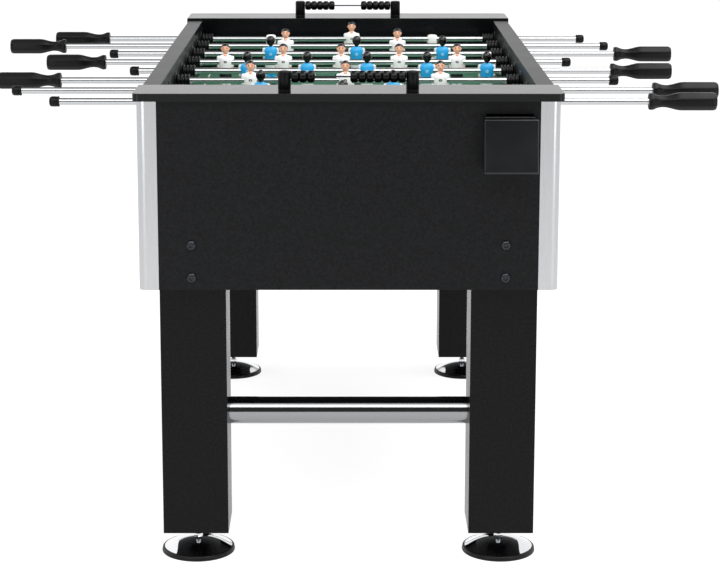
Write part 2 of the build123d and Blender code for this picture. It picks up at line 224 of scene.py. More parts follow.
def brushed_aluminium():
    """Anodised aluminium extrusion: lengthways brushing drags out its highlights.

    The real brush lines are about 0.1 mm apart and are drawn at 0.5 mm so that they show.
    """
    return finish(
        "brushed anodised aluminium", linear("#b9babc"), 0.19, metallic=1.0, grain=(0.5, 0.02),
        tone=0.04, wear=0.03, stretch=(1, 1, 0.03),
    )


def raw_board():
    """Black-sealed medium density fibreboard: matt, with fine mottled fibres."""
    return finish("sealed fibreboard", linear("#171513"), 0.8, ior=1.3, grain=(0.9, 0.06), tone=0.3)


def field_sheet():
    """Printed and lacquered sheet: an even green under the broad highlight of smooth lacquer."""
    return finish(
        "printed lacquered sheet", bpy.context.scene.foosball_cabinet.field_colour, 0.3, ior=1.5,
        grain=(1.6, 0.01), tone=0.07, wear=0.04,
    )


def field_ink():
    """Screen-printed white ink under the lacquer, slightly uneven in cover."""
    return finish(
        "screen-printed white ink", linear("#e6ebe6"), 0.32, grain=(0.8, 0.005), tone=0.05
    )


def moulded_black():
    """Injection-moulded ABS: an even spark texture that greys the highlights.

    The real texture is about 0.1 mm and is drawn at 0.6 mm, as it is on the other mouldings.
    """
    return finish(
        "moulded black ABS", linear("#070708"), 0.36, ior=1.25, grain=(0.6, 0.03), tone=0.12,
        wear=0.04,
    )


def return_black():
    """The ball return's moulded ABS, glossier than the laminate round it."""
    return finish(
        "moulded satin ABS", linear("#0f1012"), 0.22, ior=1.46, grain=(0.7, 0.03), tone=0.12,
        wear=0.03,
    )


def grip_black():
    """Grip moulded in black polypropylene, softly worn where it is held."""
    return finish(
        "moulded polypropylene", linear("#070708"), 0.34, ior=1.26, grain=(0.5, 0.025), tone=0.12,
        wear=0.07,
    )


def glossy_black():
    """Polished polystyrene: small sharp highlights on near black."""
    return finish(
        "polished polystyrene", linear("#050506"), 0.24, ior=1.3, grain=(3.0, 0.006), tone=0.1,
        wear=0.03,
    )


def black_rubber():
    """Moulded rubber: matt and slightly dusty, so its ribs show as soft grey lines."""
    return finish(
        "moulded black rubber", linear("#070708"), 0.38, ior=1.35, grain=(0.5, 0.03), tone=0.2,
        wear=0.08,
    )


def chrome():
    """Polished hard chrome on steel: a mirror with faint polishing marks, drawn very broad."""
    return finish(
        "polished chrome", linear("#e4e5e7"), 0.05, metallic=1.0, grain=(4.0, 0.004), tone=0.02,
        wear=0.02,
    )


def rod_chrome():
    """Chrome on the rods, drawn and polished lengthways, which softens its reflections."""
    return finish(
        "drawn polished chrome", linear("#bbbcbe"), 0.15, metallic=1.0, grain=(0.4, 0.0), tone=0.03,
        wear=0.01, stretch=(0.05, 1, 1),
    )


def tube_chrome():
    """Thinner chrome over rolled tube: greyer than the feet, with soft-edged reflections."""
    return finish(
        "satin chrome plate", linear("#909193"), 0.1, metallic=1.0, grain=(0.4, 0.0), tone=0.03,
        wear=0.01, stretch=(0.05, 1, 1),
    )


def black_oxide():
    """Black-oxide steel: dark metal with an oily sheen."""
    return finish(
        "black oxide steel", linear("#37383b"), 0.26, metallic=1.0, grain=(0.6, 0.01), tone=0.15,
        wear=0.06,
    )


def zinc_steel():
    """Zinc-plated steel: a bright grey with a soft bluish haze."""
    return finish(
        "zinc-plated steel", linear("#b7babd"), 0.24, metallic=1.0, grain=(0.5, 0.01), tone=0.08,
        wear=0.05,
    )


def paint(name, colour, roughness=0.34, ior=1.45):
    """Sprayed enamel on a moulded figure: clean colour with a slight orange peel."""
    return finish(name, colour, roughness, ior=ior, grain=(1.4, 0.02), tone=0.05, wear=0.04)


# Pieces


def make_piece(name, shape, materials, body, nodes=(), sharp_degrees=32.0):
    """Turns a finished shape into an object at the origin that rides on a body."""
    bmesh.ops.remove_doubles(shape, verts=shape.verts, dist=1e-6)
    bmesh.ops.recalc_face_normals(shape, faces=shape.faces)
    mesh = bpy.data.meshes.new(name)
    shape.to_mesh(mesh)
    shape.free()
    mesh.shade_smooth()
    mesh.set_sharp_from_angle(angle=math.radians(sharp_degrees))
    for material in materials:
        mesh.materials.append(material)
    piece = bpy.data.objects.new(name, mesh)
    bpy.context.scene.collection.objects.link(piece)
    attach(piece, body)
    if nodes:
        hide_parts(*nodes)
    return piece


def dress(node, material):
    """Gives a CAD node its finish and leaves its mesh as it is."""
    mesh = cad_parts[node].data
    mesh.materials.clear()
    mesh.materials.append(material)


def turn(shape, profile, centre, axis, steps=32, index=0):
    """Spins a profile about an axis through a centre.

    The profile is a row of (along the axis, radius) points in mm. Its ends are on the axis, or it
    ends where it starts.
    """
    axis = Vector(axis).normalized()
    side = axis.orthogonal().normalized()
    before = set(shape.faces)
    points = [centre + axis * (along * MM) + side * (radius * MM) for along, radius in profile]
    verts = [shape.verts.new(point) for point in points]
    edges = [shape.edges.new(pair) for pair in zip(verts, verts[1:])]
    bmesh.ops.spin(
        shape, geom=verts + edges, cent=centre, axis=axis, angle=math.tau, steps=steps,
        use_merge=True,
    )
    made = [face for face in shape.faces if face not in before]
    for face in made:
        face.material_index = index
    touched = in_order(vert for face in made for vert in face.verts)
    bmesh.ops.remove_doubles(shape, verts=touched, dist=1e-6)


def ring(shape, count, place, width, depth, turned=0.0, face=Matrix.Identity(4)):
    """One closed ring of edges, in mm. face turns it from flat to the way the loft runs."""
    size = Matrix.Diagonal((width * MM, depth * MM, 1.0, 1.0))
    matrix = Matrix.Translation(Vector(place) * MM) @ face @ size @ Matrix.Rotation(turned, 4, "Z")
    made = bmesh.ops.create_circle(shape, segments=count, radius=1.0, matrix=matrix)
    return in_order(edge for vert in made["verts"] for edge in vert.link_edges)


def loft(shape, count, sections, turned=0.0, face=Matrix.Identity(4), index=0):
    """Bridges rings of (place, half width, half depth), in mm, and closes the two ends."""
    rings = [
        ring(shape, count, place, width, depth, turned, face) for place, width, depth in sections
    ]
    made = []
    for one, other in zip(rings, rings[1:]):
        made += bmesh.ops.bridge_loops(shape, edges=one + other)["faces"]
    for end in (rings[0], rings[-1]):
        made += bmesh.ops.contextual_create(shape, geom=end)["faces"]
    for made_face in made:
        made_face.material_index = index
    return made


def egg(shape, place, size, index, segments, rings):
    """A round form of three radii, in mm."""
    scale = Matrix.Diagonal((*(radius * MM for radius in size), 1.0))
    matrix = Matrix.Translation(Vector(place) * MM) @ scale
    made = bmesh.ops.create_uvsphere(
        shape, u_segments=segments, v_segments=rings, radius=1.0, matrix=matrix
    )
    for face in in_order(face for vert in made["verts"] for face in vert.link_faces):
        face.material_index = index
    return made["verts"]


def slab(shape, low, high):
    """A block between two corners, in metres."""
    low, high = Vector(low), Vector(high)
    matrix = Matrix.Translation((low + high) / 2) @ Matrix.Diagonal((*(high - low), 1.0))
    bmesh.ops.create_cube(shape, size=1.0, matrix=matrix)


def soften(shape, edges, width):
    """Rounds some edges by a width in mm."""
    bmesh.ops.bevel(
        shape, geom=edges, offset=width * MM, offset_type="OFFSET", segments=3, profile=0.5,
        affect="EDGES", material=-1, clamp_overlap=True,
    )


def stamp(shape, mesh, matrix):
    """Adds a copy of a finished mesh, moved by a matrix."""
    first = len(shape.verts)
    shape.from_mesh(mesh)
    shape.verts.ensure_lookup_table()
    bmesh.ops.transform(shape, matrix=matrix, verts=shape.verts[first:])


# A man, in mm from the rod's axis, facing -Y. Each name is the place of a paint in a team's list
SHIRT, SKIN, HAIR, SHORTS, SOCKS, BOOTS, DARK, SLEEVE, PLUG = range(9)
BOOT_BACK, BOOT_FRONT = 5.8 * MM, -10.2 * MM
MAN_HALF, KEEPER_HALF = 18.75, 12.0  # half of the width of a man with his arms, and of a keeper


def kicking_block(shape, sections):
    """A pair of boots in one, with the front and the back pressed in to two flat faces."""
    for face in loft(shape, 28, sections, index=BOOTS):
        for vert in face.verts:
            vert.co.y = max(min(vert.co.y, BOOT_BACK), BOOT_FRONT)


def model_man():
    """One full man: shirt, arms, shorts, legs in socks, a kicking block of boots, and a head."""
    shape = bmesh.new()
    chest = (
        ((0, 0.5, 17.2), 4.6, 4.4),
        ((0, 0.4, 16.0), 7.4, 5.8),
        ((0, 0.2, 13.6), 12.4, 7.9),
        ((0, 0, 10.0), 15.4, 10.0),
        ((0, 0, 4.0), 15.8, 10.9),
        ((0, 0, -3.0), 14.9, 10.9),
        ((0, 0, -10.0), 13.6, 10.2),
        ((0, 0, -16.0), 13.0, 9.4),
        ((0, 0, -19.0), 13.5, 9.6),
        ((0, 0, -20.2), 13.3, 9.4),
    )
    loft(shape, 24, chest, index=SHIRT)
    shorts = (
        ((0, 0, -18.0), 12.2, 8.6),
        ((0, -0.2, -24.0), 12.8, 8.7),
        ((0, -0.4, -31.0), 13.0, 8.6),
        ((0, -0.4, -35.0), 12.4, 8.2),
        ((0, -0.4, -36.0), 11.4, 7.4),
    )
    loft(shape, 24, shorts, index=SHORTS)
    for side in SIDES:
        thigh = (
            ((side * 5.6, -0.5, -33.0), 5.2, 6.0),
            ((side * 5.4, -0.6, -40.0), 4.9, 5.7),
            ((side * 5.3, -0.6, -44.0), 4.7, 5.4),
        )
        loft(shape, 14, thigh, index=SKIN)
        sock = (
            ((side * 5.3, -0.6, -43.0), 5.2, 5.9),
            ((side * 5.3, -0.4, -48.0), 5.3, 6.1),
            ((side * 5.3, -0.4, -54.0), 4.9, 5.6),
            ((side * 5.3, -0.6, -61.0), 4.7, 5.4),
        )
        loft(shape, 14, sock, index=SOCKS)
        arm = (
            ((side * 13.6, 0.2, 13.6), 2.2, 2.6),
            ((side * 14.7, 0.2, 11.6), 3.6, 4.4),
            ((side * 15.1, 0, 6.0), 3.6, 4.8),
            ((side * 15.2, 0, -2.0), 3.3, 4.4),
            ((side * 15.0, -0.2, -9.5), 3.2, 4.0),
        )
        loft(shape, 14, arm, index=SLEEVE)
        forearm = (
            ((side * 14.9, -0.4, -8.6), 2.5, 3.1),
            ((side * 14.8, -1.0, -12.0), 2.3, 2.9),
            ((side * 14.7, -1.6, -15.0), 2.1, 2.6),
        )
        loft(shape, 12, forearm, index=SKIN)
        egg(shape, (side * 14.7, -2.0, -17.2), (2.2, 2.8, 3.2), SKIN, 12, 8)
    boots = (
        ((0, -1.5, -58.0), 10.0, 7.2),
        ((0, -2.0, -61.5), 10.9, 8.6),
        ((0, -2.2, -66.0), 11.4, 9.2),
        ((0, -2.0, -70.4), 11.6, 9.4),
        ((0, -2.0, -71.8), 11.0, 8.8),
    )
    kicking_block(shape, boots)
    neck = (((0, 0.6, 16.0), 4.6, 4.4), ((0, 0.4, 20.0), 4.3, 4.2), ((0, 0.2, 24.0), 4.6, 4.6))
    loft(shape, 16, neck, index=SKIN)
    head = (
        ((0, -1.8, 19.0), 2.6, 2.6),
        ((0, -1.6, 19.9), 4.7, 4.6),
        ((0, -1.0, 22.4), 6.7, 6.8),
        ((0, -0.4, 26.4), 8.3, 8.2),
        ((0, 0.0, 30.6), 9.0, 8.8),
        ((0, 0.1, 35.0), 7.9, 8.0),
        ((0, 0.2, 37.8), 5.2, 5.6),
        ((0, 0.2, 39.0), 2.2, 2.6),
    )
    loft(shape, 24, head, index=SKIN)
    # The hair tapers to the nape, and its cap over the head is cut away below the fringe
    nape = (
        ((0, 2.6, 16.2), 2.8, 2.6),
        ((0, 3.0, 19.0), 4.4, 3.6),
        ((0, 3.4, 23.0), 7.2, 5.2),
        ((0, 3.2, 27.0), 9.0, 6.2),
        ((0, 2.4, 31.0), 9.7, 6.9),
        ((0, 1.6, 34.0), 8.6, 6.6),
    )
    loft(shape, 20, nape, index=HAIR)
    cap = egg(shape, (0, 0.0, 30.4), (9.9, 9.8, 9.6), HAIR, 28, 18)
    edges = in_order(edge for vert in cap for edge in vert.link_edges)
    faces = in_order(face for vert in cap for face in vert.link_faces)
    cut = bmesh.ops.bisect_plane(
        shape, geom=[*cap, *edges, *faces], plane_co=Vector((0, -8.0, 35.4)) * MM,
        plane_no=Vector((0, -0.55, -0.835)), clear_outer=True,
    )
    rim = [item for item in cut["geom_cut"] if isinstance(item, bmesh.types.BMEdge)]
    for face in bmesh.ops.contextual_create(shape, geom=rim)["faces"]:
        face.material_index = HAIR
    # A calm, plain face: brows, eyes, nose, mouth and ears
    egg(shape, (0, -8.8, 27.8), (1.3, 1.6, 2.3), SKIN, 10, 8)
    for side in SIDES:
        egg(shape, (side * 3.4, -8.0, 30.4), (1.2, 0.6, 0.8), DARK, 10, 6)
        egg(shape, (side * 3.4, -8.0, 32.3), (1.8, 0.6, 0.4), HAIR, 10, 6)
        egg(shape, (side * 9.1, 0.2, 29.0), (0.9, 1.8, 2.5), SKIN, 10, 8)
    egg(shape, (0, -7.3, 24.0), (2.2, 0.6, 0.5), DARK, 10, 6)
    # The clamp screw in the back, level with the rod
    turn(
        shape,
        ((9.6, 0), (9.6, 3.4), (11.6, 3.4), (12.0, 3.0), (12.0, 1.4), (11.4, 1.3), (11.4, 0)),
        Vector(),
        (0, 1, 0),
        20,
        PLUG,
    )
    return shape


def collar(shape):
    """An open V collar and a plain ring-shaped badge on a white shirt."""
    egg(shape, (0, -10.5, 1.5), (3.6, 0.9, 2.7), SHORTS, 16, 8)
    egg(shape, (0, -11.2, 1.5), (1.4, 0.5, 0.9), SLEEVE, 12, 6)
    egg(shape, (0, -4.8, 14.6), (4.0, 3.6, 4.6), SKIN, 14, 8)
    for side in SIDES:
        strip = (
            ((side * 5.2, -0.6, 17.4), 1.2, 1.0),
            ((side * 4.4, -6.2, 15.0), 1.2, 0.9),
            ((side * 0.6, -9.3, 9.8), 1.0, 0.7),
        )
        loft(shape, 8, strip, index=SLEEVE)


def model_keeper():
    """A headless keeper: a rounded block with the same boots."""
    shape = bmesh.new()
    body = (
        ((0, 0, 9.8), 7.0, 6.2),
        ((0, 0, 8.6), 10.4, 9.0),
        ((0, 0, 5.0), 11.9, 10.6),
        ((0, 0, -4.0), 12.0, 10.9),
        ((0, 0, -14.0), 11.9, 10.0),
        ((0, 0, -19.0), 11.8, 9.2),
    )
    loft(shape, 24, body, index=SHIRT)
    legs = (
        ((0, 0, -18.0), 11.4, 8.6),
        ((0, 0, -30.0), 10.9, 7.6),
        ((0, -0.4, -36.0), 10.6, 7.2),
    )
    loft(shape, 24, legs, index=SHORTS)
    shin = (
        ((0, -0.4, -34.0), 9.8, 6.6),
        ((0, -0.4, -48.0), 9.6, 6.2),
        ((0, -0.8, -60.0), 9.6, 6.2),
    )
    loft(shape, 24, shin, index=SOCKS)
    boots = (
        ((0, -1.5, -57.0), 9.9, 7.0),
        ((0, -2.0, -61.5), 10.9, 8.6),
        ((0, -2.0, -70.4), 11.6, 9.4),
        ((0, -2.0, -71.8), 11.0, 8.8),
    )
    kicking_block(shape, boots)
    return shape


def bake_template(shape, name):
    """Keeps a shape as a mesh to be stamped along the rods."""
    mesh = bpy.data.meshes.new(name)
    shape.to_mesh(mesh)
    shape.free()
    return mesh


def build_men():
    """One piece for the men of each rod."""
    teams = bpy.context.scene.foosball_teams
    white_man = model_man()
    collar(white_man)
    models = {
        "white": bake_template(white_man, "man_template_white"),
        "blue": bake_template(model_man(), "man_template_blue"),
        "keeper": bake_template(model_keeper(), "keeper_template"),
    }
    skin = paint("sprayed enamel skin", teams.skin_colour, 0.42)
    hair = paint("sprayed enamel black", teams.hair_colour, 0.14, 1.5)
    boots = paint("sprayed enamel boots", linear("#131315"))
    features = paint("sprayed enamel features", linear("#2a1712"))
    finishes = {
        "white": [
            paint("sprayed enamel white", teams.white_colour),
            skin,
            hair,
            paint("sprayed enamel black shorts", linear("#17181b")),
            paint("sprayed enamel white socks", linear("#d9dbde")),
            boots,
            features,
            paint("sprayed enamel white sleeve", linear("#f6f7f8")),
            paint("white clamp plug", linear("#e4e7ea")),
        ],
        "blue": [
            paint("sprayed enamel azure", teams.blue_colour),
            skin,
            hair,
            paint("sprayed enamel pale shorts", linear("#d7dadd")),
            paint("sprayed enamel azure socks", teams.blue_colour),
            boots,
            features,
            paint("sprayed enamel pale sleeve", linear("#dfe6ea")),
            paint("pale blue clamp plug", linear("#8fcbea")),
        ],
    }
    for number in ROD_NUMBERS:
        low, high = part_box(f"men_{number}")
        y, z = rod_axis(number)
        # The team whose grips are on the right is turned to face the other one
        team = "blue" if side_of(*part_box(f"handle_{number}")) > 0 else "white"
        facing = Matrix.Rotation(math.pi if team == "blue" else 0.0, 4, "Z")
        goalie = number in GOALIE_RODS
        half = (KEEPER_HALF if goalie else MAN_HALF) * MM
        count = ROD_MEN[number]
        step = (high.x - low.x - 2 * half) / (count - 1)
        shape = bmesh.new()
        for index in range(count):
            model = "keeper" if goalie and index != 1 else team
            place = Matrix.Translation((low.x + half + index * step, y, z))
            stamp(shape, models[model], place @ facing)
        make_piece(
            f"men_{number}_figures", shape, finishes[team], f"spin_{number}",
            (f"men_{number}",), sharp_degrees=40.0,
        )
    for mesh in models.values():
        bpy.data.meshes.remove(mesh)


def build_grips():
    """Eight-sided grips with rounded corners, waisted behind a collar."""
    black = grip_black()
    across = Matrix.Rotation(math.radians(90), 4, "Y")
    # An edge is rounded when enough of its length is along the rod and it bends enough
    lengthways, crease = 0.45, 0.3
    sections = (
        (0.0, 14.6), (0.7, 15.8), (2.2, 16.4), (6.6, 16.4), (8.6, 15.9), (12.0, 14.3),
        (16.0, 12.7), (21.0, 11.6), (27.0, 11.2), (33.0, 11.8), (40.0, 13.4), (47.0, 15.4),
        (53.0, 16.8), (58.0, 17.4), (64.0, 17.5), (118.0, 17.5), (121.5, 17.0), (124.0, 15.6),
        (125.5, 13.0), (126.0, 9.0),
    )
    for number in ROD_NUMBERS:
        low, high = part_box(f"handle_{number}")
        y, z = rod_axis(number)
        side = side_of(low, high)
        start = low.x if side > 0 else high.x
        shape = bmesh.new()
        rings = [
            ((start / MM + side * along, y / MM, z / MM), radius, radius)
            for along, radius in sections
        ]
        loft(shape, 8, rings, turned=math.radians(22.5), face=across)
        long_edges = [
            edge for edge in shape.edges
            if abs(edge.verts[0].co.x - edge.verts[1].co.x) > lengthways * edge.calc_length()
            and all(len(face.verts) <= 4 for face in edge.link_faces)
            and edge.calc_face_angle(0.0) > crease
        ]
        soften(shape, long_edges, bpy.context.scene.foosball_fittings.facet_radius / MM)
        make_piece(
            f"grip_{number}", shape, [black], f"spin_{number}",
            (f"handle_{number}",), sharp_degrees=24.0,
        )


def build_end_caps():
    """Moulded caps on the other ends, fluted by a groove and rounded at the tip."""
    black = moulded_black()
    profile = (
        (0, 0), (0, 8.6), (0.4, 9.3), (1.2, 9.7), (3.4, 9.7), (3.9, 9.1), (4.9, 9.1), (5.4, 9.7),
        (13.0, 9.6), (15.6, 9.2), (17.6, 7.8), (18.6, 5.6), (19.0, 2.6), (19.0, 0),
    )
    for number in ROD_NUMBERS:
        low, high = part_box(f"end_cap_{number}")
        side = side_of(low, high)
        inner = low.x if side > 0 else high.x
        shape = bmesh.new()
        turn(shape, profile, Vector((inner, *rod_axis(number))), (side, 0, 0), 36)
        make_piece(
            f"cap_{number}", shape, [black], f"slide_{number}",
            (f"end_cap_{number}",),
        )


def build_bearings():
    """Flanged bushes with a raised lip at each face."""
    shape = bmesh.new()
    inner, outer = FIELD_HIGH.x / MM, APRON_HIGH.x / MM
    profile = (
        (inner - 4.0, ROD_RADIUS), (inner - 4.0, 9.4), (inner - 3.2, 10.2), (inner - 2.8, 15.6),
        (inner - 2.2, 17.2), (inner - 1.0, 18.0), (inner, 18.0), (inner, 13.0), (outer, 13.0),
        (outer, 17.0), (outer + 1.4, 17.0), (outer + 2.2, 16.2), (outer + 2.4, 11.0),
        (outer + 3.2, 10.2), (outer + 3.5, 9.2), (outer + 3.5, ROD_RADIUS),
        (inner - 4.0, ROD_RADIUS),
    )
    for number in ROD_NUMBERS:
        for side in SIDES:
            turn(shape, profile, Vector((0, *rod_axis(number))), (side, 0, 0), 32)
    make_piece(
        "rod_bearings", shape, [moulded_black()], "table", ("bearings",)
    )


def build_bumpers():
    """Rubber sleeves with four rounded ribs."""
    shape = bmesh.new()
    start = BUMPER_HIGH.x / MM
    length, ribs = 25.0, 4
    rib = length / (2 * ribs - 1)  # a gap is as wide as a rib
    profile = [(start, ROD_RADIUS)]
    for index in range(ribs):
        x = start - 2 * index * rib
        profile += [
            (x, 11.6), (x - 0.25 * rib, 12.7), (x - 0.5 * rib, 13.0), (x - 0.75 * rib, 12.7),
            (x - rib, 11.6),
        ]
        if index < ribs - 1:
            profile += [(x - 1.15 * rib, 10.6), (x - 1.85 * rib, 10.6)]
    profile += [(start - length, ROD_RADIUS), (start, ROD_RADIUS)]
    for number in ROD_NUMBERS:
        for side in SIDES:
            turn(shape, profile, Vector((0, *rod_axis(number))), (side, 0, 0), 28)
    make_piece(
        "rod_bumpers", shape, [black_rubber()], "table", ("bumpers",),
        sharp_degrees=40.0,
    )


def build_levelers():
    """Rubber ring, chrome dome, threaded stud and nut under each leg."""
    finishes = [black_rubber(), chrome(), zinc_steel()]
    hole = 52.0  # the radius inside the rubber ring
    dome_low, rise, dome_steps = 9.0, 18.0, 12
    thread_low, thread_high, pitch = 34.5, 58.0, 1.5
    for number in range(1, 5):
        low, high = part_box(f"leveler_{number}")
        centre = Vector(((low.x + high.x) / 2, (low.y + high.y) / 2, 0))
        radius = (high.x - low.x) / 2 / MM
        shape = bmesh.new()
        foot = (
            (0, hole), (0, radius - 1.6), (0.5, radius - 0.5), (1.4, radius),
            (3.4, radius - 0.2), (3.8, radius - 0.9), (4.6, radius - 0.9), (5.0, radius - 0.4),
            (7.6, radius - 1.0), (8.6, radius - 1.9), (dome_low, radius - 3.2), (dome_low, hole),
            (0, hole),
        )
        turn(shape, foot, centre, (0, 0, 1), 72, 0)
        rim = radius - 5.0
        sphere = (rim**2 + rise**2) / (2 * rise)
        dome = [(dome_low, 0), (dome_low, rim - 0.6), (dome_low + 0.6, rim)]
        for step in range(1, dome_steps + 1):
            across = rim * (1 - step / dome_steps)
            dome.append((dome_low + rise - sphere + math.sqrt(sphere**2 - across**2), across))
        turn(shape, dome, centre, (0, 0, 1), 72, 1)
        stud = [(27.0, 0), (27.0, 5.0)]
        height = thread_low
        while height < thread_high:
            stud += [(height, 5.0), (height + pitch / 2, 4.3)]
            height += pitch
        stud += [(height, 5.0), (60.0, 5.0), (60.0, 0)]
        turn(shape, stud, centre, (0, 0, 1), 24, 2)
        nut = [
            ((centre.x / MM, centre.y / MM, z), corner, corner)
            for z, corner in ((26.6, 8.4), (27.4, 9.2), (33.2, 9.2), (34.0, 8.4))
        ]
        loft(shape, 6, nut, index=1)
        make_piece(
            f"foot_{number}_turned", shape, finishes, f"foot_{number}",
            (f"leveler_{number}",),
        )


def build_returns():
    """Open-topped cups moulded with a front that leans out below its middle."""
    low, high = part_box("ball_returns")
    width, shallow, deep = 95.0 * MM, 40.0 * MM, 50.0 * MM
    foot, wall = 4.0 * MM, 3.0 * MM
    middle = (low.z + high.z) / 2
    section = (
        (0.0, low.z), (deep, low.z), (deep, low.z + foot), (shallow, middle), (shallow, high.z),
        (0.0, high.z),
    )
    shape = bmesh.new()
    for side in SIDES:
        left = high.x - width if side < 0 else low.x
        back = side * APRON_HIGH.y
        points = [shape.verts.new((left, back + side * out, z)) for out, z in section]
        made = bmesh.ops.extrude_face_region(shape, geom=[shape.faces.new(points)])
        moved = [item for item in made["geom"] if isinstance(item, bmesh.types.BMVert)]
        bmesh.ops.translate(shape, vec=(width, 0, 0), verts=moved)
        faces = in_order(face for vert in points + moved for face in vert.link_faces)
        bmesh.ops.recalc_face_normals(shape, faces=faces)
        # The top is inset by the wall and sunk to the bottom
        lid = max(faces, key=lambda face: face.calc_center_median().z)
        bmesh.ops.inset_individual(shape, faces=[lid], thickness=wall, use_even_offset=True)
        sunk = bmesh.ops.extrude_face_region(shape, geom=[lid])
        floor = [item for item in sunk["geom"] if isinstance(item, bmesh.types.BMVert)]
        bmesh.ops.delete(shape, geom=[lid], context="FACES_ONLY")
        bmesh.ops.translate(shape, vec=(0, 0, low.z + wall - high.z), verts=floor)
    hard = [
        edge for edge in shape.edges
        if len(edge.link_faces) == 2 and edge.calc_face_angle(0.0) > 0.6
    ]
    soften(shape, hard, 2.0)
    make_piece(
        "ball_return_cups", shape, [return_black()], "table", ("ball_returns",)
    )


def build_bolts():
    """Button heads with a round socket, eight to the legs."""
    low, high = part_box("leg_bolts")
    radius = 9.3
    x_place = high.x - radius * MM
    profile = (
        (-8.0, 0), (-8.0, 5.0), (0, 5.0), (0, radius), (1.2, radius), (2.6, 8.7), (4.0, 7.2),
        (4.8, 5.4), (5.0, 4.2), (4.9, 3.9), (2.2, 3.5), (2.0, 0),
    )
    shape = bmesh.new()
    for side in SIDES:
        for x in (-x_place, x_place):
            for z in (low.z + radius * MM, high.z - radius * MM):
                turn(shape, profile, Vector((x, side * APRON_HIGH.y, z)), (0, side, 0), 24)
    make_piece("leg_bolt_heads", shape, [black_oxide()], "table", ("leg_bolts",))


def build_scorers():
    """Posts, their wires and the beads that slide on them."""
    black = glossy_black()
    post_low, post_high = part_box("scorer_posts")
    wire_low, wire_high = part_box("scorer_wires")
    post_radius, wire_radius, bead_pitch, bead_bore = 11.5, 1.5, 14.15, 1.55
    tall = (post_high.z - post_low.z) / MM
    post = (
        (0, 0), (0, post_radius), (0.8, post_radius), (1.2, post_radius - 0.2),
        (1.6, post_radius), (tall - 2.6, post_radius), (tall - 1.2, post_radius - 0.6),
        (tall - 0.3, post_radius - 1.8), (tall, post_radius - 3.6), (tall, 0),
    )
    half = wire_high.x / MM
    wire = ((-half, 0), (-half, wire_radius), (half, wire_radius), (half, 0))
    post_x = post_high.x - post_radius * MM
    wire_z = (wire_low.z + wire_high.z) / 2
    posts, wires = bmesh.new(), bmesh.new()
    for side in SIDES:
        y = side * (wire_high.y - wire_radius * MM)
        for x in (-post_x, post_x):
            turn(posts, post, Vector((x, y, post_low.z)), (0, 0, 1), 40)
        turn(wires, wire, Vector((0, y, wire_z)), (1, 0, 0), 16)
    make_piece("scorer_pegs", posts, [moulded_black()], "table", ("scorer_posts",))
    make_piece("scorer_rails", wires, [black_oxide()], "table", ("scorer_wires",))
    for name in ("beads_front_left", "beads_front_right", "beads_rear_left", "beads_rear_right"):
        low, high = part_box(name)
        count = round((high.x - low.x) / MM / bead_pitch)
        length = (high.x - low.x) / MM - (count - 1) * bead_pitch
        bead = (
            (0, bead_bore), (0, 6.8), (0.5, 8.0), (1.6, 9.6), (3.4, 10.5), (length / 2, 10.7),
            (length - 3.4, 10.5), (length - 1.6, 9.6), (length - 0.5, 8.0), (length, 6.8),
            (length, bead_bore), (0, bead_bore),
        )
        shape = bmesh.new()
        y, z = (low.y + high.y) / 2, (low.z + high.z) / 2
        for index in range(count):
            turn(shape, bead, Vector((low.x + index * bead_pitch * MM, y, z)), (1, 0, 0), 32)
        make_piece(
            f"{name}_turned", shape, [black], name, (name,), sharp_degrees=40.0
        )


def build_field_lines():
    """The printed field: outline, halfway line, centre circle, areas and spots."""
    shape = bmesh.new()
    top = FIELD_HIGH.z
    # The print is drawn thicker than ink is, and starts a little inside the sheet
    sunk, thick, line = 0.05, 0.15, 5.0
    edge_x, edge_y = FIELD_HIGH.x - 22 * MM, FIELD_HIGH.y - 20 * MM
    areas = ((190, 165), (125, 70))  # half of the width and the depth, in mm
    spot_depth, spot_radius, centre_radius, circle_radius = 115, 5, 6, 100

    def outline(x0, y0, x1, y1):
        place = Matrix.Translation(((x0 + x1) / 2, (y0 + y1) / 2, top - sunk * MM))
        size = Matrix.Diagonal((x1 - x0, y1 - y0, 1.0, 1.0))
        sheet = bmesh.ops.create_grid(
            shape, x_segments=1, y_segments=1, size=0.5, matrix=place @ size
        )
        middle = sheet["verts"][0].link_faces[0]
        edge = bmesh.ops.inset_individual(shape, faces=[middle], thickness=line * MM)["faces"]
        bmesh.ops.delete(shape, geom=[middle], context="FACES_ONLY")
        raised = bmesh.ops.extrude_face_region(shape, geom=edge)["geom"]
        corners = [item for item in raised if isinstance(item, bmesh.types.BMVert)]
        bmesh.ops.translate(shape, vec=(0, 0, (thick + sunk) * MM), verts=corners)

    def spot(y, radius):
        disc = ((-sunk, 0), (-sunk, radius), (thick, radius), (thick, 0))
        turn(shape, disc, Vector((0, y, top)), (0, 0, 1), 24)

    outline(-edge_x, -edge_y, edge_x, edge_y)
    end = Vector((edge_x - line * MM, line / 2 * MM))
    slab(shape, (*-end, top - sunk * MM), (*end, top + thick * MM))
    for side in SIDES:
        for half, deep in areas:
            ends = side * (edge_y - line * MM), side * (edge_y - deep * MM)
            outline(-half * MM, min(ends), half * MM, max(ends))
        spot(side * (edge_y - spot_depth * MM), spot_radius)
    spot(0, centre_radius)
    inner = circle_radius - line
    circle = (
        (-sunk, inner), (thick, inner), (thick, circle_radius), (-sunk, circle_radius),
        (-sunk, inner),
    )
    turn(shape, circle, Vector((0, 0, top)), (0, 0, 1), 96)
    make_piece("field_lines", shape, [field_ink()], "table")


# Stage


